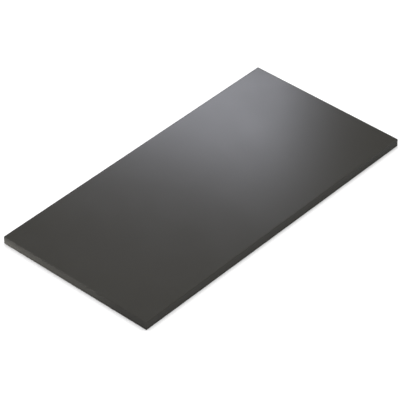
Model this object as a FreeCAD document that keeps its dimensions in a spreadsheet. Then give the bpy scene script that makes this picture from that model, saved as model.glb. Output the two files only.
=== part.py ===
import FreeCAD, Part
import os
import Sketcher

# Kick plate for the foot of a door, lying face up as it is unpacked.
#
# The face is a shallow pan folded from soft aluminium sheet. A fibreboard core fills the pan so that a
# kick can't dent it, an adhesive film bonds the two, a phenolic sheet seals the core's back, and a
# bead of sealant closes the gap between the board and the pan's flanges. Nothing shows on the face:
# strips of foam tape hold the plate to the door, each under a release liner with a pull tab.
#
# Frame, in millimetres: X runs along the plate, Y points up the door once the plate hangs, and Z
# points out of the face. The origin is under the plate's centre, on the surface that it lies on.

PARTS_FOLDER = "parts"
TOLERANCE = 1e-6

# Driving dimensions: alias, millimetres, meaning. The plate's thickness is the sum of its layers.
SIZES = (
    ("plate_length", 400.0, "pan, outside, along X"),
    ("plate_width", 200.0, "pan, outside, along Y"),
    ("sheet_thickness", 1.0, "pan's sheet"),
    ("bend_radius", 1.25, "outside of the pan's folds"),
    ("rim_height", 0.4, "pan's rim above the liners' underside, taken up as the tape is pressed"),
    ("bond_thickness", 0.3, "adhesive film between face and core"),
    ("core_thickness", 6.0, "fibreboard core"),
    ("core_clearance", 0.5, "gap between the boards and the flanges"),
    ("core_bevel", 1.0, "on the core's front edges, clear of the folds"),
    ("backing_thickness", 1.5, "phenolic sheet on the core's back"),
    ("bead_depth", 3.0, "sealant up the gap beside the boards"),
    ("bead_reach", 1.0, "sealant over the backing sheet's border"),
    ("bead_height", 0.6, "sealant down the flange"),
    ("bead_slope", 0.5, "bevel on the bead's inner border"),
    ("tape_thickness", 1.1, "foam mounting tape"),
    ("tape_width", 19.0, "every strip"),
    ("tape_margin", 6.5, "backing sheet left bare outside the strips"),
    ("tape_gap", 3.0, "between a long strip and the short ones' ends"),
    ("liner_thickness", 0.1, "release liner"),
    ("tab_length", 12.0, "liner past one end of its tape"),
)

# Short strips: name, side of the centre, and share of the way out to the end strips.
SHORT_STRIPS = (
    ("left_end", -1, 1.0),
    ("left_middle", -1, 1 / 3),
    ("right_middle", 1, 1 / 3),
    ("right_end", 1, 1.0),
)


def cell(alias):
    """Expression for one driving dimension."""
    return f"<<sizes>>.{alias}"


# Levels of the layers above the ground, from the liners up to the underside of the face.
TAPE_BASE = cell("liner_thickness")
BACKING_BASE = f"{TAPE_BASE} + {cell('tape_thickness')}"
CORE_BASE = f"{BACKING_BASE} + {cell('backing_thickness')}"
BOND_BASE = f"{CORE_BASE} + {cell('core_thickness')}"
FACE_BASE = f"{BOND_BASE} + {cell('bond_thickness')}"

# Outlines: the pan's inside, the boards, and the area that the strips share.
INSIDE_LENGTH = f"{cell('plate_length')} - 2 * {cell('sheet_thickness')}"
INSIDE_WIDTH = f"{cell('plate_width')} - 2 * {cell('sheet_thickness')}"
BOARD_LENGTH = f"{INSIDE_LENGTH} - 2 * {cell('core_clearance')}"
BOARD_WIDTH = f"{INSIDE_WIDTH} - 2 * {cell('core_clearance')}"
STRIPS_LENGTH = f"{BOARD_LENGTH} - 2 * {cell('tape_margin')}"
STRIPS_WIDTH = f"{BOARD_WIDTH} - 2 * {cell('tape_margin')}"


def make_sheet(doc):
    """Spreadsheet of the driving dimensions, one aliased cell each."""
    sheet = doc.addObject("Spreadsheet::Sheet", "sizes")
    for row, (alias, value, meaning) in enumerate(SIZES, 1):
        sheet.set(f"A{row}", alias)
        sheet.set(f"B{row}", str(value))
        sheet.set(f"C{row}", meaning)
        sheet.setAlias(f"B{row}", alias)
    doc.recompute()


def new_body(doc, label, base, x="0", y="0"):
    """Empty body whose own origin stands at (x, y, base)."""
    body = doc.addObject("PartDesign::Body", label)
    body.Label = label
    body.setExpression("Placement.Base.x", x)
    body.setExpression("Placement.Base.y", y)
    body.setExpression("Placement.Base.z", base)
    return body


def new_sketch(body, name):
    """Sketch on the body's own XY plane."""
    sketch = body.newObject("Sketcher::SketchObject", name)
    plane = [p for p in body.Origin.OriginFeatures if p.Role == "XY_Plane"][0]
    sketch.AttachmentSupport = [(plane, "")]
    sketch.MapMode = "FlatFace"
    return sketch


def add_rectangle(sketch, name, length, width):
    """Rectangle centred on the sketch's origin, its sides bound to two expressions."""
    half_x = float(sketch.evalExpression(length)) / 2
    half_y = float(sketch.evalExpression(width)) / 2
    corners = [
        FreeCAD.Vector(-half_x, -half_y, 0),
        FreeCAD.Vector(half_x, -half_y, 0),
        FreeCAD.Vector(half_x, half_y, 0),
        FreeCAD.Vector(-half_x, half_y, 0),
    ]
    first = sketch.GeometryCount
    south, east, north, west = range(first, first + 4)
    for start, end in zip(corners, corners[1:] + corners[:1]):
        sketch.addGeometry(Part.LineSegment(start, end), False)
    for side, following in ((south, east), (east, north), (north, west), (west, south)):
        sketch.addConstraint(Sketcher.Constraint("Coincident", side, 2, following, 1))
    for side in (south, north):
        sketch.addConstraint(Sketcher.Constraint("Horizontal", side))
    for side in (east, west):
        sketch.addConstraint(Sketcher.Constraint("Vertical", side))
    sketch.addConstraint(Sketcher.Constraint("Symmetric", south, 1, north, 1, -1, 1))
    for label, kind, side, size, expression in (
        ("length", "DistanceX", south, 2 * half_x, length),
        ("width", "DistanceY", east, 2 * half_y, width),
    ):
        index = sketch.addConstraint(Sketcher.Constraint(kind, side, 1, side, 2, size))
        sketch.renameConstraint(index, f"{name}_{label}")
        sketch.setExpression(f"Constraints.{name}_{label}", expression)


def extrude(body, kind, name, sketch, depth, reverse=False):
    """Pad or Pocket of a sketch, its depth bound to an expression. Reverse turns it over."""
    feature = body.newObject(f"PartDesign::{kind}", name)
    feature.Profile = sketch
    feature.Reversed = reverse
    feature.setExpression("Length", depth)
    body.Document.recompute()
    return feature


def edges_at(shape, height, reach=None):
    """Names of the level edges at a height, less any that go further along X than a given reach."""
    names = []
    for number, edge in enumerate(shape.Edges, 1):
        box = edge.BoundBox
        level = abs(box.ZMin - height) < TOLERANCE and abs(box.ZMax - height) < TOLERANCE
        if level and (reach is None or max(box.XMax, -box.XMin) < reach):
            names.append(f"Edge{number}")
    return names


def dress(body, kind, name, base, edges, size):
    """Fillet or Chamfer on named edges, its size bound to an expression."""
    feature = body.newObject(f"PartDesign::{kind}", name)
    feature.Base = (base, edges)
    feature.setExpression("Radius" if kind == "Fillet" else "Size", size)
    body.Document.recompute()
    return feature


def make_slab(doc, label, length, width, thickness, base, x="0", y="0"):
    """Flat rectangular piece."""
    body = new_body(doc, label, base, x, y)
    sketch = new_sketch(body, f"{label}_outline")
    add_rectangle(sketch, "outline", length, width)
    extrude(body, "Pad", f"{label}_slab", sketch, thickness)
    return body


def make_face_pan(doc):
    """Sheet folded down along all four sides, with its corners closed and dressed."""
    body = new_body(doc, "face_pan", cell("rim_height"))
    depth = f"{FACE_BASE} + {cell('sheet_thickness')} - {cell('rim_height')}"
    inside = f"{FACE_BASE} - {cell('rim_height')}"

    outline = new_sketch(body, "pan_outline")
    add_rectangle(outline, "outside", cell("plate_length"), cell("plate_width"))
    block = extrude(body, "Pad", "pan_block", outline, depth)
    top = block.Shape.BoundBox.ZMax
    folds = dress(body, "Fillet", "outer_folds", block, edges_at(block.Shape, top), cell("bend_radius"))

    opening = new_sketch(body, "pan_opening")
    add_rectangle(opening, "inside", INSIDE_LENGTH, INSIDE_WIDTH)
    hollow = extrude(body, "Pocket", "pan_hollow", opening, inside, reverse=True)
    # The hollow is most of the block, so a pocket cut the wrong way shows in the volume.
    if hollow.Shape.Volume > folds.Shape.Volume / 2:
        raise ValueError("the pan's hollow was not cut")
    ceiling = float(body.evalExpression(inside))
    inner_radius = f"{cell('bend_radius')} - {cell('sheet_thickness')}"
    dress(body, "Fillet", "inner_folds", hollow, edges_at(hollow.Shape, ceiling), inner_radius)
    return body


def make_core_board(doc):
    """Board that fills the pan, bevelled where the pan's folds turn."""
    body = make_slab(
        doc, "core_board", BOARD_LENGTH, BOARD_WIDTH, cell("core_thickness"), CORE_BASE
    )
    slab = body.Tip
    front = slab.Shape.BoundBox.ZMax
    dress(body, "Chamfer", "front_bevel", slab, edges_at(slab.Shape, front), cell("core_bevel"))
    return body


def make_bond_film(doc):
    """Adhesive film over the flat front of the core."""
    length = f"{BOARD_LENGTH} - 2 * {cell('core_bevel')}"
    width = f"{BOARD_WIDTH} - 2 * {cell('core_bevel')}"
    return make_slab(doc, "bond_film", length, width, cell("bond_thickness"), BOND_BASE)


def make_backing_sheet(doc):
    """Sheet that seals the core's back."""
    return make_slab(
        doc, "backing_sheet", BOARD_LENGTH, BOARD_WIDTH, cell("backing_thickness"), BACKING_BASE
    )


def make_edge_sealant(doc):
    """Bead that fills the gap round the boards and laps onto the backing sheet."""
    body = new_body(doc, "edge_sealant", BACKING_BASE)
    gap = new_sketch(body, "gap_section")
    add_rectangle(gap, "outside", INSIDE_LENGTH, INSIDE_WIDTH)
    add_rectangle(gap, "inside", BOARD_LENGTH, BOARD_WIDTH)
    extrude(body, "Pad", "gap_filling", gap, cell("bead_depth"))

    lap = new_sketch(body, "lap_section")
    add_rectangle(lap, "outside", INSIDE_LENGTH, INSIDE_WIDTH)
    add_rectangle(
        lap,
        "inside",
        f"{BOARD_LENGTH} - 2 * {cell('bead_reach')}",
        f"{BOARD_WIDTH} - 2 * {cell('bead_reach')}",
    )
    bead = extrude(body, "Pad", "lap_bead", lap, cell("bead_height"), reverse=True)

    # The bead slopes from the flange to the sheet: its outer border lies beyond the boards' ends.
    boards_end = float(body.evalExpression(BOARD_LENGTH)) / 2
    inner_border = edges_at(bead.Shape, bead.Shape.BoundBox.ZMin, reach=boards_end)
    dress(body, "Chamfer", "bead_bevel", bead, inner_border, cell("bead_slope"))
    return body


def make_strip(doc, name, along_x, span, x, y, tab_side):
    """Foam tape strip and its release liner, which runs past the tape at the tab's end."""
    width = cell("tape_width")
    tape_span = f"{span} - {cell('tab_length')}"
    shift = f"{-tab_side} * {cell('tab_length')} / 2"
    if along_x:
        tape_outline, tape_place = (tape_span, width), (f"{x} + {shift}", y)
        liner_outline = (span, width)
    else:
        tape_outline, tape_place = (width, tape_span), (x, f"{y} + {shift}")
        liner_outline = (width, span)
    tape = make_slab(
        doc, f"mounting_tape_{name}", *tape_outline, cell("tape_thickness"), TAPE_BASE, *tape_place
    )
    liner = make_slab(
        doc, f"release_liner_{name}", *liner_outline, cell("liner_thickness"), "0", x, y
    )
    return [tape, liner]


def make_strips(doc):
    """Two long strips along the plate and short ones between them, alike if turned half round."""
    bodies = []
    out_x = f"({STRIPS_LENGTH} - {cell('tape_width')}) / 2"
    out_y = f"({STRIPS_WIDTH} - {cell('tape_width')}) / 2"
    for name, side in (("top", 1), ("bottom", -1)):
        bodies += make_strip(doc, name, True, STRIPS_LENGTH, "0", f"{side} * {out_y}", side)
    short_span = f"{STRIPS_WIDTH} - 2 * ({cell('tape_width')} + {cell('tape_gap')})"
    for name, side, share in SHORT_STRIPS:
        x = f"{side * share} * {out_x}"
        bodies += make_strip(doc, name, False, short_span, x, "0", side)
    return bodies


def check_document(doc):
    """Stops if any object of the document failed to compute."""
    doc.recompute()
    failed = [o.Label for o in doc.Objects if {"Invalid", "Error"} & set(o.State)]
    if failed:
        raise ValueError(f"these objects failed: {failed}")


def export_parts(bodies):
    """Writes each body to its own STEP file, after testing its shape."""
    os.makedirs(PARTS_FOLDER, exist_ok=True)
    for body in bodies:
        shape = body.Shape
        if shape.isNull() or not shape.isValid() or len(shape.Solids) != 1:
            raise ValueError(f"{body.Label} is not one valid solid")
    for body in bodies:
        body.Shape.exportStep(os.path.join(PARTS_FOLDER, f"{body.Label}.step"))
        box = body.Shape.BoundBox
        low, high = (box.XMin, box.YMin, box.ZMin), (box.XMax, box.YMax, box.ZMax)
        corners = " to ".join(str([round(value, 3) for value in corner]) for corner in (low, high))
        print(f"{body.Label}: {corners}, {body.Shape.Volume:.0f} mm3")


def main():
    doc = FreeCAD.newDocument("kick_plate")
    make_sheet(doc)
    bodies = [
        make_face_pan(doc),
        make_bond_film(doc),
        make_core_board(doc),
        make_backing_sheet(doc),
        make_edge_sealant(doc),
        *make_strips(doc),
    ]
    check_document(doc)
    export_parts(bodies)


main()
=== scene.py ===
"""Finishes and fine shapes for a kick plate: a folded, powder-coated pan on a fibreboard core.

The plate lies face up on a pale floor. Its pan, boards, sealant and mounting tape are rebuilt here
with the soft edges, tooled bead, foam sides and loose pull tabs that the real pieces have. All sizes
are in metres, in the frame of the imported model, and places come from that model's own boxes.
"""

from __future__ import annotations

import logging
import math
from collections.abc import Mapping
from dataclasses import dataclass, field
from enum import Enum

import bmesh
import bpy
from mathutils import Matrix, Vector

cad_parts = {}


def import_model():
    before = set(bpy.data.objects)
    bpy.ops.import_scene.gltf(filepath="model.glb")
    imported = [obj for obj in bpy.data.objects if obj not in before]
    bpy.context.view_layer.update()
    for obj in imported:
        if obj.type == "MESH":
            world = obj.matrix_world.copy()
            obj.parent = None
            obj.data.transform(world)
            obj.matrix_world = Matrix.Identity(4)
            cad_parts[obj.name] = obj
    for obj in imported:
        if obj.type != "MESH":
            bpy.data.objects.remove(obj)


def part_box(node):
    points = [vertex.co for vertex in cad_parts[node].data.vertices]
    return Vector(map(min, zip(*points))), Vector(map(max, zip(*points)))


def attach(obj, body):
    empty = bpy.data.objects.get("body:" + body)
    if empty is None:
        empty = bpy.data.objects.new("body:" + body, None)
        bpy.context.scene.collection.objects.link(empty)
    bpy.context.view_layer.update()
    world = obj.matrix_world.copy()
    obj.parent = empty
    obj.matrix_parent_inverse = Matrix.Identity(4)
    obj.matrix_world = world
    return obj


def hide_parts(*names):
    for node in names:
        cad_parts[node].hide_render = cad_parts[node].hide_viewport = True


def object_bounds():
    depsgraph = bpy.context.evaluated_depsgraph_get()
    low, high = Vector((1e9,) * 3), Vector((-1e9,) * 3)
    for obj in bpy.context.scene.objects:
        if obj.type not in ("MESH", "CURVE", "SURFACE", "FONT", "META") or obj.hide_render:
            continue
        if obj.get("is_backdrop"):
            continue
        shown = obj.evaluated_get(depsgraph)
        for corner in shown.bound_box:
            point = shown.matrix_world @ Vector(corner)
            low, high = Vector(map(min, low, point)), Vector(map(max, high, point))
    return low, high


LOG = logging.getLogger("kick_plate")
BODY = "root"
MM = 0.001

Point = tuple[float, float, float]
Colour = tuple[float, float, float]
Box = tuple[Vector, Vector]


# --------------------------------------------------------------------------------------------------
# Shader writing
# --------------------------------------------------------------------------------------------------


class Value:
    """A number that varies over a surface, which can be used in arithmetic."""

    def __init__(self, sheet: ShaderSheet, socket: bpy.types.NodeSocket) -> None:
        """Wraps an output socket.

        Args:
            sheet: the shader that the socket belongs to.
            socket: the output that gives the number.
        """
        self.sheet = sheet
        self.socket = socket

    def _maths(self, operation: str, *others: Value | float) -> Value:
        """Adds one Math node.

        Args:
            operation: the node's operation.
            others: its further inputs.

        Returns:
            The node's result.
        """
        inputs = dict(enumerate((self, *others)))
        node = self.sheet.node("ShaderNodeMath", {"operation": operation}, inputs)
        return Value(self.sheet, node.outputs[0])

    def __add__(self, other: Value | float) -> Value:
        """Sum."""
        return self._maths("ADD", other)

    __radd__ = __add__

    def __mul__(self, other: Value | float) -> Value:
        """Product."""
        return self._maths("MULTIPLY", other)

    __rmul__ = __mul__

    def __sub__(self, other: Value | float) -> Value:
        """Difference."""
        return self._maths("SUBTRACT", other)

    def __rsub__(self, other: float) -> Value:
        """Difference from a plain number."""
        return self._maths("MULTIPLY_ADD", -1.0, other)

    def size(self) -> Value:
        """The number without its sign."""
        return self._maths("ABSOLUTE")

    def or_more(self, other: Value | float) -> Value:
        """The larger of two numbers."""
        return self._maths("MAXIMUM", other)

    def clamped(self) -> Value:
        """The number held between 0 and 1."""
        return self._maths("MAXIMUM", 0.0)._maths("MINIMUM", 1.0)

    def eased(self, low: float, high: float) -> Value:
        """A smooth rise from 0 to 1.

        Args:
            low: where the rise starts.
            high: where it ends.

        Returns:
            The eased share.
        """
        inputs = {"Value": self, "From Min": low, "From Max": high}
        node = self.sheet.node("ShaderNodeMapRange", {"interpolation_type": "SMOOTHSTEP"}, inputs)
        return Value(self.sheet, node.outputs["Result"])


class ShaderSheet:
    """The nodes of one material, with short ways to write the common ones."""

    def __init__(self, name: str) -> None:
        """Makes an empty material.

        Args:
            name: the material's name.
        """
        self.material = bpy.data.materials.new(name)
        self.material.use_nodes = True
        self.tree = self.material.node_tree
        self.tree.nodes.clear()

    def node(
        self,
        kind: str,
        settings: Mapping[str, object] | None = None,
        inputs: Mapping[str | int, object] | None = None,
    ) -> bpy.types.Node:
        """Adds one node.

        Args:
            kind: the node's type.
            settings: the node's own properties, set before its inputs.
            inputs: a number, colour, Value or socket for each input, by name or place.

        Returns:
            The node.
        """
        node = self.tree.nodes.new(kind)
        for name, setting in (settings or {}).items():
            setattr(node, name, setting)
        for name, given in (inputs or {}).items():
            given = given.socket if isinstance(given, Value) else given
            if isinstance(given, bpy.types.NodeSocket):
                self.tree.links.new(given, node.inputs[name])
            else:
                node.inputs[name].default_value = given
        return node

    def place(self, stretch: Point = (1.0, 1.0, 1.0)) -> bpy.types.NodeSocket:
        """Place on the piece in metres, stretched along each axis.

        Args:
            stretch: how much longer a pattern gets along X, Y and Z.

        Returns:
            A vector for a pattern to read.
        """
        here = self.node("ShaderNodeTexCoord").outputs["Object"]
        scale = tuple(1.0 / length for length in stretch)
        return self.node("ShaderNodeMapping", None, {"Vector": here, "Scale": scale}).outputs[0]

    def axes(self) -> tuple[Value, Value, Value]:
        """Place on the piece in metres, as three numbers."""
        here = self.node("ShaderNodeTexCoord").outputs["Object"]
        split = self.node("ShaderNodeSeparateXYZ", None, {0: here})
        return tuple(Value(self, split.outputs[axis]) for axis in "XYZ")

    def noise(self, size: float, detail: float = 2.0, stretch: Point = (1.0, 1.0, 1.0)) -> Value:
        """Cloudy pattern about 0, mostly between -1 and 1.

        Args:
            size: about how large one cloud is, in metres.
            detail: how many finer layers it has.
            stretch: how much longer it gets along each axis.

        Returns:
            The pattern.
        """
        inputs = {"Vector": self.place(stretch), "Scale": 1.0 / size, "Detail": detail}
        return (Value(self, self.node("ShaderNodeTexNoise", None, inputs).outputs[0]) - 0.5) * 4.0

    def cells(self, size: float) -> Value:
        """Distance from the middle of the nearest cell, from 0 to about 1.

        Args:
            size: about how large one cell is, in metres.

        Returns:
            The pattern.
        """
        inputs = {"Vector": self.place(), "Scale": 1.0 / size}
        return Value(self, self.node("ShaderNodeTexVoronoi", None, inputs).outputs["Distance"])

    def blend(self, share: Value, first: Colour, second: Colour) -> bpy.types.NodeSocket:
        """Mixes two colours.

        Args:
            share: how much of the second colour to take.
            first: colour at 0.
            second: colour at 1.

        Returns:
            The mixed colour.
        """
        inputs = {0: share, 6: (*first, 1.0), 7: (*second, 1.0)}
        return self.node("ShaderNodeMix", {"data_type": "RGBA"}, inputs).outputs[2]

    def relief(self, height: Value, depth: float) -> bpy.types.NodeSocket:
        """Turns a height pattern into a bumpy normal.

        Args:
            height: the pattern, where 1 stands for the full depth.
            depth: the relief's depth, in metres.

        Returns:
            The normal.
        """
        inputs = {"Height": height, "Distance": depth, "Strength": 1.0}
        return self.node("ShaderNodeBump", None, inputs).outputs["Normal"]

    def surface(self, inputs: Mapping[str, object]) -> bpy.types.Material:
        """Ends the shader in one Principled surface.

        Args:
            inputs: values and links for the surface's inputs.

        Returns:
            The finished material.
        """
        shader = self.node("ShaderNodeBsdfPrincipled", None, inputs)
        return self.finish(shader.outputs[0])

    def finish(self, shader: bpy.types.NodeSocket) -> bpy.types.Material:
        """Sends a shader to the material's output.

        Args:
            shader: the last shader's output.

        Returns:
            The finished material.
        """
        self.node("ShaderNodeOutputMaterial", None, {"Surface": shader})
        return self.material


# --------------------------------------------------------------------------------------------------
# Finishes
# --------------------------------------------------------------------------------------------------


def shade(colour: Colour, share: float) -> Colour:
    """A colour made lighter or darker.

    Args:
        colour: the colour.
        share: what to multiply it by.

    Returns:
        The new colour.
    """
    return tuple(part * share for part in colour)


@dataclass(frozen=True)
class PowderCoat:
    """Satin powder coat, stoved on sheet metal: smooth, with a faint orange peel."""

    colour: Colour = (0.0357, 0.0343, 0.0304)
    tone_drift: float = 0.05
    pigment_drift: float = 0.045
    roughness: float = 0.20
    roughness_drift: float = 0.015
    edge_band: float = 2.6 * MM
    edge_lightening: float = 0.15
    edge_roughness: float = 0.03
    peel_size: float = 2.4 * MM
    peel_depth: float = 0.006 * MM
    grain_size: float = 0.45 * MM
    grain_depth: float = 0.0012 * MM

    def material(self, half_length: float, half_width: float) -> bpy.types.Material:
        """Writes the finish for one plate.

        Args:
            half_length: from the plate's middle to its ends.
            half_width: from the plate's middle to its long sides.

        Returns:
            The material.
        """
        sheet = ShaderSheet("satin_powder_coat")
        along, across, _ = sheet.axes()
        # Lighter and rougher in a band along the plate's outline. The band takes in the face's outer
        # edges, the folds, the sides and the rim.
        past_end = along.size() - (half_length - self.edge_band)
        past_side = across.size() - (half_width - self.edge_band)
        border = past_end.or_more(past_side).eased(0.0, self.edge_band)

        cloud = sheet.noise(70 * MM)
        pigment = sheet.noise(self.grain_size, detail=1.0)
        tone = 0.5 + cloud * self.tone_drift + pigment * self.pigment_drift + border * self.edge_lightening
        colour = sheet.blend(tone.clamped(), shade(self.colour, 0.8), shade(self.colour, 1.2))

        handling = sheet.noise(24 * MM, detail=4.0)
        roughness = self.roughness + handling * self.roughness_drift + border * self.edge_roughness

        peel = sheet.noise(self.peel_size, detail=1.0)
        height = peel + pigment * (self.grain_depth / self.peel_depth)
        normal = sheet.relief(height, self.peel_depth)
        inputs = {"Base Color": colour, "Roughness": roughness, "Normal": normal, "IOR": 1.5}
        return sheet.surface(inputs)


@dataclass(frozen=True)
class BondAdhesive:
    """Rolled contact adhesive, milky and slightly streaked."""

    colour: Colour = (0.62, 0.60, 0.50)

    def material(self) -> bpy.types.Material:
        """Writes the finish."""
        sheet = ShaderSheet("rolled_adhesive")
        streak = sheet.noise(4 * MM, detail=3.0, stretch=(12.0, 1.0, 1.0))
        blotch = sheet.noise(15 * MM)
        tone = (0.5 + streak * 0.2 + blotch * 0.2).clamped()
        colour = sheet.blend(tone, shade(self.colour, 0.82), shade(self.colour, 1.08))
        normal = sheet.relief(streak, 0.02 * MM)
        return sheet.surface({"Base Color": colour, "Roughness": 0.38 + blotch * 0.05, "Normal": normal})


@dataclass(frozen=True)
class Fibreboard:
    """Moisture-resistant fibreboard: fine felted fibres, darker where they bunch."""

    colour: Colour = (0.33, 0.22, 0.12)
    fibre_colour: Colour = (0.16, 0.095, 0.045)

    def material(self) -> bpy.types.Material:
        """Writes the finish."""
        sheet = ShaderSheet("felted_fibreboard")
        fibres = sheet.noise(0.9 * MM, detail=4.0, stretch=(3.0, 1.0, 0.6))
        bunches = sheet.noise(9 * MM, detail=3.0)
        share = (0.35 + fibres * 0.3 + bunches * 0.12).clamped()
        colour = sheet.blend(share, self.colour, self.fibre_colour)
        normal = sheet.relief(fibres, 0.03 * MM)
        return sheet.surface({"Base Color": colour, "Roughness": 0.78 + fibres * 0.05, "Normal": normal})


@dataclass(frozen=True)
class PhenolicSheet:
    """Kraft and phenolic laminate, its back sanded lengthways so that adhesive holds to it."""

    colour: Colour = (0.085, 0.047, 0.026)
    dust_colour: Colour = (0.17, 0.105, 0.062)

    def material(self) -> bpy.types.Material:
        """Writes the finish."""
        sheet = ShaderSheet("phenolic_backer")
        scratches = sheet.noise(0.55 * MM, detail=3.0, stretch=(110.0, 1.0, 1.0))
        chatter = sheet.noise(7 * MM, detail=2.0, stretch=(0.8, 30.0, 1.0))
        kraft = sheet.noise(38 * MM, detail=4.0)
        share = (0.3 + scratches * 0.26 + chatter * 0.07 + kraft * 0.12).clamped()
        colour = sheet.blend(share, self.colour, self.dust_colour)
        roughness = 0.56 + scratches * 0.07 + kraft * 0.03
        normal = sheet.relief(scratches, 0.012 * MM)
        return sheet.surface({"Base Color": colour, "Roughness": roughness, "Normal": normal})


@dataclass(frozen=True)
class Sealant:
    """Tooled polyurethane sealant, dark, with a slight skin."""

    colour: Colour = (0.021, 0.021, 0.023)

    def material(self) -> bpy.types.Material:
        """Writes the finish."""
        sheet = ShaderSheet("polyurethane_sealant")
        skin = sheet.noise(1.6 * MM, detail=3.0)
        drag = sheet.noise(11 * MM)
        tone = (0.5 + skin * 0.3).clamped()
        colour = sheet.blend(tone, shade(self.colour, 0.75), shade(self.colour, 1.5))
        roughness = 0.42 + drag * 0.06 + skin * 0.03
        normal = sheet.relief(skin + drag * 2.0, 0.02 * MM)
        return sheet.surface({"Base Color": colour, "Roughness": roughness, "Normal": normal})


@dataclass(frozen=True)
class Foam:
    """Closed-cell foam tape, charcoal, with its cells open along the slit sides."""

    colour: Colour = (0.040, 0.040, 0.042)
    cell: float = 0.22 * MM

    def material(self) -> bpy.types.Material:
        """Writes the finish."""
        sheet = ShaderSheet("closed_cell_foam")
        cells = sheet.cells(self.cell)
        blotch = sheet.noise(6 * MM)
        # The cell pattern paints shade into each cell's hollow and a highlight on the walls between them;
        # the blotches are the foam's own uneven tone.
        share = (cells * 0.9 + blotch * 0.08).clamped()
        colour = sheet.blend(share, shade(self.colour, 0.45), shade(self.colour, 1.7))
        normal = sheet.relief(cells, 0.05 * MM)
        return sheet.surface({"Base Color": colour, "Roughness": 0.86 + blotch * 0.03, "Normal": normal})


@dataclass(frozen=True)
class LinerFilm:
    """Thin red release film. It looks darker where foam backs it than on its free tab."""

    colour: Colour = (0.36, 0.013, 0.010)
    tab_colour: Colour = (0.56, 0.035, 0.024)
    attribute: str = "free"

    def material(self) -> bpy.types.Material:
        """Writes the finish."""
        sheet = ShaderSheet("release_film")
        settings = {"attribute_name": self.attribute}
        free = Value(sheet, sheet.node("ShaderNodeAttribute", settings).outputs["Fac"])
        wrinkles = sheet.noise(9 * MM, detail=3.0)
        grain = sheet.noise(0.8 * MM, detail=1.0)
        share = (free * 0.85 + wrinkles * 0.05 + grain * 0.05).clamped()
        colour = sheet.blend(share, self.colour, self.tab_colour)
        roughness = 0.30 + grain * 0.03 + wrinkles * 0.02
        normal = sheet.relief(wrinkles + grain * 0.12, 0.03 * MM)
        return sheet.surface({"Base Color": colour, "Roughness": roughness, "Normal": normal})


# --------------------------------------------------------------------------------------------------
# Shapes
# --------------------------------------------------------------------------------------------------


@dataclass(frozen=True)
class Ring:
    """One level of a moulding that runs round a rectangle.

    Attributes:
        inset: how far it lies inside the rectangle's outline.
        height: its height.
        corner: its corners' radius.
        sway: how far it wanders in and out, where it is shaped by hand.
    """

    inset: float
    height: float
    corner: float
    sway: float = 0.0


def bend(
    centre: tuple[float, float], radius: float, start: float, end: float, corner: float, steps: int
) -> list[Ring]:
    """Rings along one round edge.

    Args:
        centre: inset and height of the arc's centre.
        radius: the arc's radius.
        start: first direction in degrees, where 0 points outwards and 90 points up.
        end: last direction.
        corner: the rings' corner radius.
        steps: how many facets the arc has.

    Returns:
        The rings, one more than the facets.
    """
    rings = []
    for step in range(steps + 1):
        angle = math.radians(start + (end - start) * step / steps)
        inset = centre[0] - radius * math.cos(angle)
        rings.append(Ring(inset, centre[1] + radius * math.sin(angle), corner))
    return rings


def sway_at(x: float, y: float) -> float:
    """A slow, uneven wander between -1 and 1, the same each time.

    Args:
        x: place along the plate.
        y: place across the plate.

    Returns:
        The wander at that place.
    """
    slow = math.sin(97.0 * x + 31.0 * y) + 0.6 * math.sin(211.0 * y - 57.0 * x + 1.3)
    quick = 0.5 * math.sin(463.0 * x + 389.0 * y + 0.7)
    return (slow + quick) / 2.1


def spread(span: float, steps: int, margin: float) -> list[float]:
    """Places along a straight run: both ends, one close to each, and even steps between.

    Args:
        span: the run's length.
        steps: how many even steps it has.
        margin: how close to the ends the first and last inner places lie.

    Returns:
        The places, from 0 to the span.
    """
    even = (span - 2 * margin) / steps
    return [0.0, *(margin + even * step for step in range(steps + 1)), span]


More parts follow.
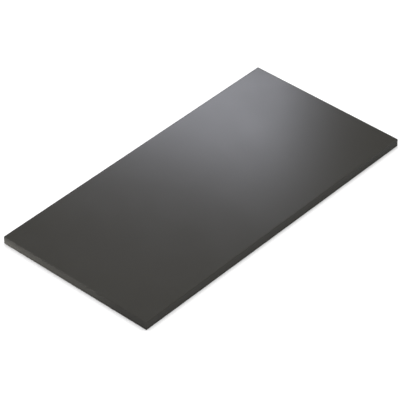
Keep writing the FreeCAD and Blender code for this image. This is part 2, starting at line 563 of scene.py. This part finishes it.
@dataclass
class Moulding:
    """A closed mesh of rings round one rectangle, for boards, pans, strips and beads.

    Attributes:
        middle: the rectangle's centre.
        length: its size along X.
        width: its size along Y.
        steps_x: even steps along its long sides.
        steps_y: even steps along its short sides.
        corner_steps: facets in each corner.
        margin: how close to the corners the straight sides' first places lie.
    """

    middle: tuple[float, float]
    length: float
    width: float
    steps_x: int
    steps_y: int
    corner_steps: int = 5
    margin: float = 0.5 * MM

    @classmethod
    def around(cls, box: Box, steps_x: int, steps_y: int) -> Moulding:
        """A moulding round a box's outline.

        Args:
            box: lowest and highest corner.
            steps_x: even steps along X.
            steps_y: even steps along Y.

        Returns:
            The moulding.
        """
        low, high = box
        middle = ((low.x + high.x) / 2, (low.y + high.y) / 2)
        return cls(middle, high.x - low.x, high.y - low.y, steps_x, steps_y)

    def _halves(self, ring: Ring) -> tuple[float, float]:
        """From the middle to a ring's corner centres, along X and Y."""
        reach = ring.inset + ring.corner
        return self.length / 2 - reach, self.width / 2 - reach

    def _side(self, ring: Ring, number: int) -> list[float]:
        """Places along one straight side, counted from its first corner."""
        half_x, half_y = self._halves(ring)
        if number % 2:
            return spread(2 * half_x, self.steps_x, self.margin)
        return spread(2 * half_y, self.steps_y, self.margin)

    def outline(self, ring: Ring) -> list[Point]:
        """The points of one ring, anticlockwise from the lower right corner.

        Args:
            ring: the level to draw.

        Returns:
            The points, as many for each ring.
        """
        half_x, half_y = self._halves(ring)
        points = []
        for number, (side_x, side_y) in enumerate(((1, -1), (1, 1), (-1, 1), (-1, -1))):
            centre = Vector((self.middle[0] + side_x * half_x, self.middle[1] + side_y * half_y, 0))
            first = 90.0 * (number - 1)
            for step in range(self.corner_steps + 1):
                angle = math.radians(first + 90.0 * step / self.corner_steps)
                points.append(corner_point(centre, ring.corner, angle))
            outward = math.radians(first + 90.0)
            forward = Vector((-math.sin(outward), math.cos(outward), 0))
            for place in self._side(ring, number)[1:-1]:
                points.append(corner_point(centre, ring.corner, outward) + forward * place)
        return [self._swayed(point, ring) for point in points]

    def _swayed(self, point: Vector, ring: Ring) -> Point:
        """Moves a ring's point in or out by the ring's sway, and lifts it to the ring's height."""
        out = Vector((point.x - self.middle[0], point.y - self.middle[1], 0)).normalized()
        moved = point + out * (ring.sway * sway_at(point.x, point.y))
        return (moved.x, moved.y, ring.height)

    def _cap(self, mesh: bmesh.types.BMesh, loop: list[bmesh.types.BMVert], ring: Ring) -> None:
        """Fills a ring with a grid of quads, fanned only in its corners.

        Args:
            mesh: the mesh to add to.
            loop: the ring's vertices.
            ring: the ring.
        """
        half_x, half_y = self._halves(ring)
        places_x = [self.middle[0] - half_x + place for place in self._side(ring, 1)]
        places_y = [self.middle[1] - half_y + place for place in self._side(ring, 0)]
        grid = [[mesh.verts.new((x, y, ring.height)) for y in places_y] for x in places_x]
        last_x, last_y = len(places_x) - 1, len(places_y) - 1
        for i in range(last_x):
            for j in range(last_y):
                mesh.faces.new((grid[i][j], grid[i + 1][j], grid[i + 1][j + 1], grid[i][j + 1]))
        borders = (
            [grid[last_x][j] for j in range(last_y + 1)],
            [grid[i][last_y] for i in range(last_x, -1, -1)],
            [grid[0][j] for j in range(last_y, -1, -1)],
            [grid[i][0] for i in range(last_x + 1)],
        )
        start = 0
        for border in borders:
            for step in range(self.corner_steps):
                mesh.faces.new((border[0], loop[start + step], loop[start + step + 1]))
            start += self.corner_steps
            for step in range(len(border) - 1):
                following = loop[(start + step + 1) % len(loop)]
                mesh.faces.new((border[step], loop[start + step], following, border[step + 1]))
            start += len(border) - 1

    def build(self, name: str, rings: list[Ring], closed: bool = False) -> bpy.types.Object:
        """Makes the mesh.

        Args:
            name: the object's name.
            rings: its levels, in order over the surface.
            closed: whether the last ring meets the first, as in a bead. Otherwise both are filled.

        Returns:
            The new object.
        """
        mesh = bmesh.new()
        loops = [[mesh.verts.new(point) for point in self.outline(ring)] for ring in rings]
        pairs = list(zip(loops, loops[1:]))
        if closed:
            pairs.append((loops[-1], loops[0]))
        for lower, upper in pairs:
            count = len(lower)
            for step in range(count):
                following = (step + 1) % count
                mesh.faces.new((lower[step], lower[following], upper[following], upper[step]))
        if not closed:
            self._cap(mesh, loops[0], rings[0])
            self._cap(mesh, loops[-1], rings[-1])
        return as_object(name, mesh)


def corner_point(centre: Vector, radius: float, angle: float) -> Vector:
    """The point of a round corner in one direction.

    Args:
        centre: the corner's centre.
        radius: its radius.
        angle: the direction, in radians.

    Returns:
        The point.
    """
    return centre + radius * Vector((math.cos(angle), math.sin(angle), 0))


def as_object(name: str, mesh: bmesh.types.BMesh) -> bpy.types.Object:
    """Turns a finished mesh into a smooth-shaded object.

    Args:
        name: the object's name.
        mesh: the mesh, which is freed.

    Returns:
        The object, linked to the scene.
    """
    bmesh.ops.recalc_face_normals(mesh, faces=mesh.faces)
    data = bpy.data.meshes.new(name)
    mesh.to_mesh(data)
    mesh.free()
    data.shade_smooth()
    piece = bpy.data.objects.new(name, data)
    bpy.context.scene.collection.objects.link(piece)
    return piece


def fit_out(
    piece: bpy.types.Object, material: bpy.types.Material, node: str
) -> bpy.types.Object:
    """Dresses a new piece and lets it stand for its CAD node.

    Args:
        piece: the new piece.
        material: its finish.
        node: the CAD node that it replaces.

    Returns:
        The piece.
    """
    piece.data.materials.append(material)
    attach(piece, BODY)
    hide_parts(node)
    faces = len(piece.data.polygons)
    LOG.info("%s: %d faces, finish %s, for %s", piece.name, faces, material.name, node)
    return piece


# --------------------------------------------------------------------------------------------------
# Sub-assemblies
# --------------------------------------------------------------------------------------------------


@dataclass
class FacePan:
    """The folded sheet that makes the plate's face, sides and rim."""

    box: Box
    sheet: float
    fold: float = 1.25 * MM
    dressed_corner: float = 0.35 * MM
    inner_corner: float = 0.1 * MM
    rim_edge: float = 0.3 * MM
    support: float = 0.3 * MM
    coat: PowderCoat = field(default_factory=PowderCoat)

    def rings(self) -> list[Ring]:
        """The pan's section, from the middle of its face over the rim to its underside."""
        low, high = self.box[0].z, self.box[1].z
        fold_level, ceiling = high - self.fold, high - self.sheet
        corner, inner = self.dressed_corner, self.inner_corner
        rim_level = low + self.rim_edge
        return [
            Ring(self.fold + self.support, high, corner),
            *bend((self.fold, fold_level), self.fold, 90, 0, corner, 12),
            Ring(0.0, fold_level - self.support, corner),
            Ring(0.0, rim_level + self.support, corner),
            *bend((self.rim_edge, rim_level), self.rim_edge, 0, -90, corner, 4),
            *bend((self.sheet - self.rim_edge, rim_level), self.rim_edge, -90, -180, inner, 4),
            Ring(self.sheet, rim_level + self.support, inner),
            Ring(self.sheet, ceiling - (self.fold - self.sheet), inner),
            Ring(self.fold, ceiling, inner),
        ]

    def build(self) -> bpy.types.Object:
        """Builds and dresses the pan."""
        moulding = Moulding.around(self.box, 40, 20)
        pan = moulding.build("pan_shell", self.rings())
        material = self.coat.material(moulding.length / 2, moulding.width / 2)
        return fit_out(pan, material, "face_pan")


@dataclass
class BoardPack:
    """The layers bonded inside the pan: adhesive film, fibreboard core and phenolic backer."""

    film_box: Box
    core_box: Box
    backer_box: Box
    eased_edge: float = 0.15 * MM
    core_bevel: float = 1.0 * MM
    corner: float = 0.2 * MM
    film_sway: float = 0.35 * MM

    def build_film(self) -> bpy.types.Object:
        """Builds the adhesive film, whose rolled border is slightly uneven."""
        low, high = self.film_box[0].z, self.film_box[1].z
        inset = self.film_sway
        rings = [Ring(inset, level, self.corner, self.film_sway) for level in (high, low)]
        film = Moulding.around(self.film_box, 60, 30).build("adhesive_film", rings)
        return fit_out(film, BondAdhesive().material(), "bond_film")

    def build_core(self) -> bpy.types.Object:
        """Builds the core, bevelled in front so that it clears the pan's folds."""
        low, high = self.core_box[0].z, self.core_box[1].z
        rings = [
            Ring(self.core_bevel, high, self.corner),
            Ring(0.0, high - self.core_bevel, self.corner),
            Ring(0.0, low, self.corner),
        ]
        core = Moulding.around(self.core_box, 24, 12).build("stiffening_core", rings)
        return fit_out(core, Fibreboard().material(), "core_board")

    def build_backer(self) -> bpy.types.Object:
        """Builds the backing sheet, its rear edge eased by the saw's scraper."""
        low, high = self.backer_box[0].z, self.backer_box[1].z
        edge = self.eased_edge
        rings = [
            Ring(0.0, high, self.corner),
            Ring(0.0, low + 2 * edge, self.corner),
            *bend((edge, low + edge), edge, 0, -90, self.corner, 4),
            Ring(2 * edge, low, self.corner),
        ]
        backer = Moulding.around(self.backer_box, 40, 20).build("phenolic_backer", rings)
        return fit_out(backer, PhenolicSheet().material(), "backing_sheet")

    def build(self) -> list[bpy.types.Object]:
        """Builds and dresses the three layers."""
        return [self.build_film(), self.build_core(), self.build_backer()]


@dataclass
class SealantBead:
    """The bead that closes the gap round the boards, tooled hollow over the backer's border."""

    box: Box
    backer_level: float
    gap: float
    lap: float = 1.0 * MM
    corner: float = 0.15 * MM
    feather: float = 0.04 * MM
    sway: float = 0.16 * MM
    hollow_steps: int = 8

    def rings(self) -> list[Ring]:
        """The bead's section, from the top of the gap down the flange and over the backer."""
        low, high = self.box[0].z, self.box[1].z
        drop, reach = self.backer_level - low, self.gap + self.lap
        rings = [Ring(0.0, high, self.corner), Ring(0.0, low, self.corner)]
        for step in range(1, self.hollow_steps + 1):
            share = step / self.hollow_steps
            hollow = math.sqrt(1.0 - (1.0 - share) ** 2)
            height = low + (drop - self.feather) * hollow
            rings.append(Ring(reach * share, height, self.corner, self.sway * share))
        rings += [
            Ring(reach, self.backer_level, self.corner, self.sway),
            Ring(self.gap, self.backer_level, self.corner),
            Ring(self.gap, high, self.corner),
        ]
        return rings

    def build(self) -> bpy.types.Object:
        """Builds and dresses the bead."""
        bead = Moulding.around(self.box, 90, 45).build("sealant_bead", self.rings(), closed=True)
        return fit_out(bead, Sealant().material(), "edge_sealant")


class Run(Enum):
    """Which way a strip of tape runs, and the axis that its length is counted on."""

    ALONG_PLATE = 0
    UP_DOOR = 1


@dataclass
class TapeStrip:
    """One strip of foam tape under its release film, which runs on into a pull tab."""

    name: str
    tape_box: Box
    film_box: Box
    foam: bpy.types.Material
    film: bpy.types.Material
    skin: float = 0.08 * MM
    pinch: float = 0.16 * MM
    slit_edge: float = 0.04 * MM
    waist_start: tuple[float, float] = (0.7, 2.2)
    tab_lift: float = 0.62 * MM
    tab_twist: float = 0.16 * MM
    tab_corner: float = 4.0 * MM
    plain_margin: float = 0.16 * MM
    side_margin: float = 0.02
    attribute: str = LinerFilm.attribute

    @property
    def run(self) -> Run:
        """The strip's direction, read from the film's box."""
        size = self.film_box[1] - self.film_box[0]
        return Run.ALONG_PLATE if size.x > size.y else Run.UP_DOOR

    def build_foam(self) -> bpy.types.Object:
        """Builds the foam, its sides drawn in between two tacky skins."""
        low, high = self.tape_box[0].z, self.tape_box[1].z
        edge, corner = self.slit_edge, 2 * self.slit_edge
        drawn_in, in_skins = self.waist_start
        section = (
            (edge, 0.0),
            (0.0, edge),
            (0.0, self.skin),
            (self.pinch * drawn_in, self.skin * in_skins),
            (self.pinch, (high - low) / 2),
        )
        lower = [Ring(inset, low + rise, corner) for inset, rise in section]
        upper = [Ring(inset, high - rise, corner) for inset, rise in reversed(section[:-1])]
        steps = (60, 6) if self.run is Run.ALONG_PLATE else (6, 24)
        moulding = Moulding.around(self.tape_box, *steps)
        foam = moulding.build(f"foam_{self.name}", lower + upper)
        return fit_out(foam, self.foam, f"mounting_tape_{self.name}")

    def _film_lines(self, span: float, tape_end: float) -> list[float]:
        """Places along the film, close together where the tab lifts and its corners turn.

        Args:
            span: the film's length.
            tape_end: where the tape under it ends.

        Returns:
            The places, from the plain end to the tab's end.
        """
        flat = spread(tape_end, 40, self.plain_margin)
        lifting = [tape_end + (span - self.tab_corner - tape_end) * step / 8 for step in range(1, 8)]
        turns = [math.radians(90.0 * step / 10) for step in range(10)]
        rounded = [span - self.tab_corner * (1.0 - math.sin(turn)) for turn in turns]
        return [*flat, *lifting, *rounded, span - 0.01 * self.tab_corner]

    def _film_half(self, place: float, span: float, half: float) -> float:
        """Half the film's width at one place, less where the tab's corners turn.

        Args:
            place: distance from the plain end.
            span: the film's length.
            half: half the film's full width.

        Returns:
            Half the width there.
        """
        into_corner = max(0.0, place - (span - self.tab_corner)) / self.tab_corner
        return half - self.tab_corner * (1.0 - math.sqrt(1.0 - min(1.0, into_corner) ** 2))

    def build_film(self) -> bpy.types.Object:
        """Builds the release film, flat on the tape and lifting along its tab."""
        axis = self.run.value
        other = 1 - axis
        low, high = self.film_box
        span, half = high[axis] - low[axis], (high[other] - low[other]) / 2
        tab_first = self.tape_box[0][axis] - low[axis] > high[axis] - self.tape_box[1][axis]
        tape_end = self.tape_box[1][axis] - self.tape_box[0][axis]
        mesh = bmesh.new()
        free = mesh.verts.layers.float.new(self.attribute)
        shares = [share - 1.0 for share in spread(2.0, 7, self.side_margin)]
        rows: dict[float, list[list[bmesh.types.BMVert]]] = {low.z: [], high.z: []}
        for place in self._film_lines(span, tape_end):
            loose = max(0.0, place - tape_end) / (span - tape_end)
            ease = loose * loose * (3.0 - 2.0 * loose)
            along = high[axis] - place if tab_first else low[axis] + place
            width = self._film_half(place, span, half)
            for level, lines in rows.items():
                line = []
                for share in shares:
                    spot = [0.0, 0.0, level + ease * (self.tab_lift + self.tab_twist * share)]
                    spot[axis] = along
                    spot[other] = (low[other] + high[other]) / 2 + share * width
                    vertex = mesh.verts.new(spot)
                    vertex[free] = ease
                    line.append(vertex)
                lines.append(line)
        join_sheets(mesh, rows[low.z], rows[high.z])
        film = as_object(f"release_film_{self.name}", mesh)
        return fit_out(film, self.film, f"release_liner_{self.name}")

    def build(self) -> list[bpy.types.Object]:
        """Builds and dresses the foam and its film."""
        return [self.build_foam(), self.build_film()]


def join_sheets(
    mesh: bmesh.types.BMesh,
    lower: list[list[bmesh.types.BMVert]],
    upper: list[list[bmesh.types.BMVert]],
) -> None:
    """Closes two grids of vertices into one thin sheet.

    Args:
        mesh: the mesh that they belong to.
        lower: rows of the under side.
        upper: rows of the upper side, as many and as long.
    """
    last_row, last = len(lower) - 1, len(lower[0]) - 1
    for i in range(last_row):
        for j in range(last):
            for rows in (lower, upper):
                mesh.faces.new((rows[i][j], rows[i + 1][j], rows[i + 1][j + 1], rows[i][j + 1]))
        for j in (0, last):
            mesh.faces.new((lower[i][j], lower[i + 1][j], upper[i + 1][j], upper[i][j]))
    for i in (0, last_row):
        for j in range(last):
            mesh.faces.new((lower[i][j], lower[i][j + 1], upper[i][j + 1], upper[i][j]))


# --------------------------------------------------------------------------------------------------
# Studio
# --------------------------------------------------------------------------------------------------


class Seen(Enum):
    """What a lamp reaches: matt colour and gloss, matt colour only, or gloss only."""

    BY_ALL = (True, True)
    BY_MATT = (True, False)
    BY_GLOSS = (False, True)


@dataclass
class Lamp:
    """One rectangular studio lamp, which the camera doesn't see."""

    name: str
    place: Point
    aim: Point
    size: tuple[float, float]
    power: float
    colour: Colour = (1.0, 1.0, 1.0)
    roll: float = 0.0
    seen: Seen = Seen.BY_ALL
    only: tuple[bpy.types.Object, ...] = ()

    def build(self) -> bpy.types.Object:
        """Builds the lamp, flagged off everything else if it is for certain pieces only."""
        data = bpy.data.lights.new(self.name, "AREA")
        data.shape = "RECTANGLE"
        data.size, data.size_y = self.size
        data.energy = self.power
        data.color = self.colour
        lamp = bpy.data.objects.new(self.name, data)
        lamp.location = self.place
        turn = (Vector(self.place) - Vector(self.aim)).to_track_quat("Z", "Y")
        roll = Matrix.Rotation(math.radians(self.roll), 3, "Z")
        lamp.rotation_euler = (turn.to_matrix() @ roll).to_euler()
        lamp.visible_camera = False
        lamp.visible_diffuse, lamp.visible_glossy = self.seen.value
        bpy.context.scene.collection.objects.link(lamp)
        if self.only:
            lit = bpy.data.collections.new(f"lit_by_{self.name}")
            for piece in self.only:
                lit.objects.link(piece)
            lamp.light_linking.receiver_collection = lit
        return lamp


@dataclass
class Studio:
    """The camera, the pale floor and the lamps."""

    plate: Box
    azimuth: float = -48.13
    elevation: float = 38.93
    distance_in_lengths: float = 6.3
    slide_in_lengths: tuple[float, float] = (-0.0154, -0.0170)
    lens: float = 214.5
    floor_half: float = 6.0
    floor_drop: float = 0.02 * MM
    floor_colour: Colour = (0.86, 0.86, 0.86)
    floor_gloss_colour: Colour = (0.16, 0.16, 0.16)
    sky: float = 0.62
    cool: Colour = (0.872, 0.893, 1.0)
    softbox_size: tuple[float, float] = (0.579, 0.268)
    softbox_core_size: tuple[float, float] = (0.463, 0.214)

    @property
    def length(self) -> float:
        """The plate's length, which the set is sized by."""
        return self.plate[1].x - self.plate[0].x

    def build_camera(self) -> bpy.types.Object:
        """Builds the camera, level and turned about the plate's base."""
        turn, tilt = math.radians(self.azimuth), math.radians(self.elevation)
        back = Vector(
            (math.sin(turn) * math.cos(tilt), -math.cos(turn) * math.cos(tilt), math.sin(tilt))
        )
        right = Vector((math.cos(turn), math.sin(turn), 0.0))
        above = back.cross(right)
        base = (self.plate[0] + self.plate[1]) / 2
        base.z = self.plate[0].z
        slide_right, slide_up = self.slide_in_lengths
        move = back * self.distance_in_lengths + right * slide_right + above * slide_up
        data = bpy.data.cameras.new("camera")
        data.lens = self.lens
        data.clip_start, data.clip_end = 0.05, 50.0
        camera = bpy.data.objects.new("camera", data)
        camera.location = base + move * self.length
        camera.rotation_euler = (-back).to_track_quat("-Z", "Y").to_euler()
        bpy.context.scene.collection.objects.link(camera)
        bpy.context.scene.camera = camera
        return camera

    def build_floor(self) -> bpy.types.Object:
        """Builds the pale floor, which is darker in the plate's gloss, as with a flag beside it."""
        half = self.floor_half
        data = bpy.data.meshes.new("floor")
        level = self.plate[0].z - self.floor_drop
        corners = [(x * half, y * half, level) for x, y in ((-1, -1), (1, -1), (1, 1), (-1, 1))]
        data.from_pydata(corners, [], [(0, 1, 2, 3)])
        floor = bpy.data.objects.new("floor", data)
        bpy.context.scene.collection.objects.link(floor)
        sheet = ShaderSheet("floor")
        in_gloss = Value(sheet, sheet.node("ShaderNodeLightPath").outputs["Is Glossy Ray"])
        colour = sheet.blend(in_gloss, self.floor_colour, self.floor_gloss_colour)
        inputs = {"Base Color": colour, "Roughness": 1.0, "Specular IOR Level": 0.0}
        data.materials.append(sheet.surface(inputs))
        floor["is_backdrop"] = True
        return floor

    def build_sky(self) -> bpy.types.World:
        """Builds the even white light of the room, which the plate's gloss doesn't show."""
        world = bpy.data.worlds.new("room")
        world.use_nodes = True
        background = world.node_tree.nodes["Background"]
        background.inputs["Color"].default_value = (1.0, 1.0, 1.0, 1.0)
        background.inputs["Strength"].default_value = self.sky
        world.cycles_visibility.glossy = False
        bpy.context.scene.world = world
        return world

    def build_lamps(self, pan: bpy.types.Object) -> list[bpy.types.Object]:
        """Builds the overhead, the cool softboxes on all sides and a low strip by the left end.

        Args:
            pan: the piece that the low strip is for.

        Returns:
            The lamps.
        """
        middle = (0.0, 0.0, 0.0)
        main = {"aim": (-0.30, 0.30, 0.0), "colour": self.cool, "roll": -6.3}
        fill = {"size": self.softbox_size, "colour": self.cool, "seen": Seen.BY_GLOSS}
        lamps = [
            Lamp("overhead", (0.0, 0.0, 1.6), middle, (2.4, 2.4), 38.0, seen=Seen.BY_MATT),
            Lamp("softbox", (0.788, 0.811, 0.661), size=self.softbox_size, power=0.635, **main),
            Lamp("softbox_core", (0.764, 0.800, 0.646), size=self.softbox_core_size, power=1.055, **main),
            Lamp("softbox_above", (0.14, 0.09, 1.2), middle, power=1.2, **fill),
            Lamp(
                "low_strip",
                (-0.21525, 0.0325, 0.0024),
                (0.776, -0.1005, 0.0024),
                (0.15, 0.004),
                0.0175,
                seen=Seen.BY_MATT,
                only=(pan,),
            ),
        ]
        for name, side_x, side_y, height, power in (
            ("softbox_behind", -1, -1, 0.646, 0.9),
            ("softbox_left", -1, 1, 0.60, 0.7),
            ("softbox_right", 1, -1, 0.36, 0.4),
        ):
            place = (0.764 * side_x, 0.800 * side_y, height)
            aim = (-0.30 * side_x, 0.30 * side_y, 0.0)
            lamps.append(Lamp(name, place, aim, power=power, **fill))
        return [lamp.build() for lamp in lamps]


def set_colour_handling() -> None:
    """Shows colours as they are, with no film look, so that the floor stays white."""
    view = bpy.context.scene.view_settings
    view.view_transform = "Standard"
    view.look = "None"


def main() -> None:
    logging.basicConfig(level=logging.INFO, format="%(name)s: %(message)s")
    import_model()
    cad_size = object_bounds()

    studio = Studio(cad_size)
    studio.build_camera()
    studio.build_floor()
    studio.build_sky()
    set_colour_handling()

    pan_box, bead_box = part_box("face_pan"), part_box("edge_sealant")
    backer_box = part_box("backing_sheet")
    sheet = bead_box[0].x - pan_box[0].x
    gap = backer_box[0].x - bead_box[0].x
    pan = FacePan(pan_box, sheet).build()
    studio.build_lamps(pan)
    BoardPack(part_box("bond_film"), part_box("core_board"), backer_box).build()
    SealantBead(bead_box, backer_box[0].z, gap).build()
    foam, film = Foam().material(), LinerFilm().material()
    for name in ("top", "bottom", "left_end", "left_middle", "right_middle", "right_end"):
        tape_box, film_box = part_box(f"mounting_tape_{name}"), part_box(f"release_liner_{name}")
        TapeStrip(name, tape_box, film_box, foam, film).build()

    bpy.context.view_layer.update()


if __name__ == "__main__":
    main()
